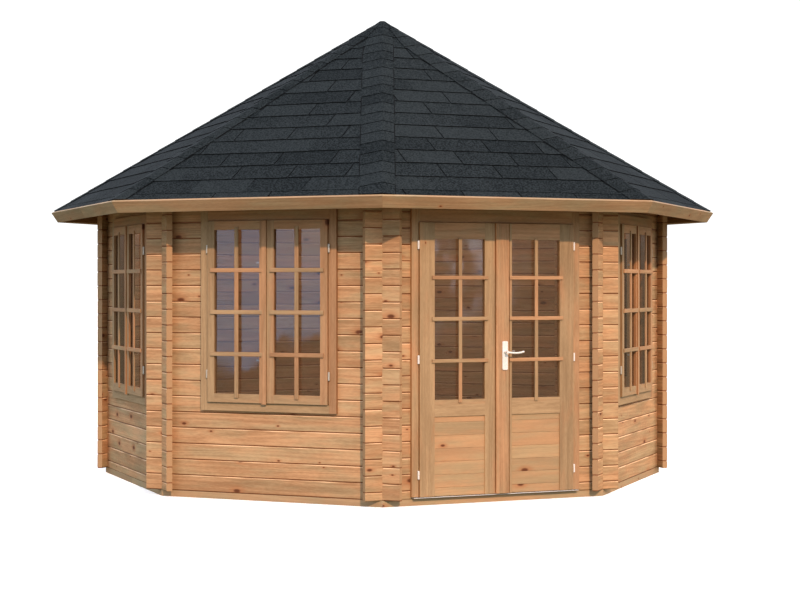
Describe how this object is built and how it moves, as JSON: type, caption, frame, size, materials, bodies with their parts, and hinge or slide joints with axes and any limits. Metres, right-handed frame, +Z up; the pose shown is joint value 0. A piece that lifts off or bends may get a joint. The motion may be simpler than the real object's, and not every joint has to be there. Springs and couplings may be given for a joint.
{
  "type": "octagonal log garden gazebo",
  "caption": "Closed octagonal garden gazebo of crossed logs with a glazed double door, glazed windows and a shingled tent roof.",
  "frame": {"origin": "on the ground under the apex, the middle of the octagon", "axes": "+Z up, the double door faces -Y, +X to the right of someone who faces the door from outside"},
  "size_m": [5.026, 5.026, 3.7064],
  "materials": {
    "log_wood": "satin",
    "joinery_wood": "satin",
    "base_wood": "matte",
    "floor_wood": "matte",
    "roof_wood": "matte",
    "fascia_wood": "satin",
    "clear_glass": "polished",
    "bright_metal": "satin",
    "grey_metal": "satin",
    "bitumen_shingle": "matte"
  },
  "bodies": {
    "root": {"foundation_beams": "base_wood", "floor_joists": "base_wood", "floor_deck": "floor_wood", "front_wall": "log_wood", "front_right_wall": "log_wood", "right_wall": "log_wood", "back_right_wall": "log_wood", "back_wall": "log_wood", "back_left_wall": "log_wood", "left_wall": "log_wood", "front_left_wall": "log_wood", "eave_logs": "log_wood", "front_left_window_frame": "joinery_wood", "front_left_window_sashes": "joinery_wood", "front_left_window_glass": "clear_glass", "left_window_frame": "joinery_wood", "left_window_sashes": "joinery_wood", "left_window_glass": "clear_glass", "front_right_window_frame": "joinery_wood", "front_right_window_sashes": "joinery_wood", "front_right_window_glass": "clear_glass", "right_window_frame": "joinery_wood", "right_window_sashes": "joinery_wood", "right_window_glass": "clear_glass", "window_hinges": "bright_metal", "door_frame": "joinery_wood", "door_threshold": "grey_metal", "door_frame_hinges": "bright_metal", "hip_rafters": "roof_wood", "roof_hub": "roof_wood", "roof_boards": "roof_wood", "shingle_faces": "bitumen_shingle", "fascia_boards": "fascia_wood"},
    "left_door": {"left_door_leaf": "joinery_wood", "left_door_panel": "joinery_wood", "left_door_glass": "clear_glass", "left_door_hinges": "bright_metal"},
    "right_door": {"right_door_leaf": "joinery_wood", "right_door_panel": "joinery_wood", "right_door_glass": "clear_glass", "right_door_hinges": "bright_metal", "door_cover_strip": "joinery_wood", "door_lock_plates": "bright_metal"},
    "lever": {"door_lever": "bright_metal"}
  },
  "joints": [
    {"name": "left_door_hinge", "type": "hinge", "parent": "root", "child": "left_door", "pos_m": [-0.61165, -2.1328, 1.016], "axis": [0, 0, -1], "range_deg": [0, 130]},
    {"name": "right_door_hinge", "type": "hinge", "parent": "root", "child": "right_door", "pos_m": [0.61165, -2.1328, 1.016], "axis": [0, 0, 1], "range_deg": [0, 130]},
    {"name": "lever_turn", "type": "hinge", "parent": "right_door", "child": "lever", "pos_m": [0.04533, -2.1, 1.062], "axis": [0, 1, 0], "range_deg": [0, 40], "stiffness_Nm_per_rad": 0.6}
  ]
}
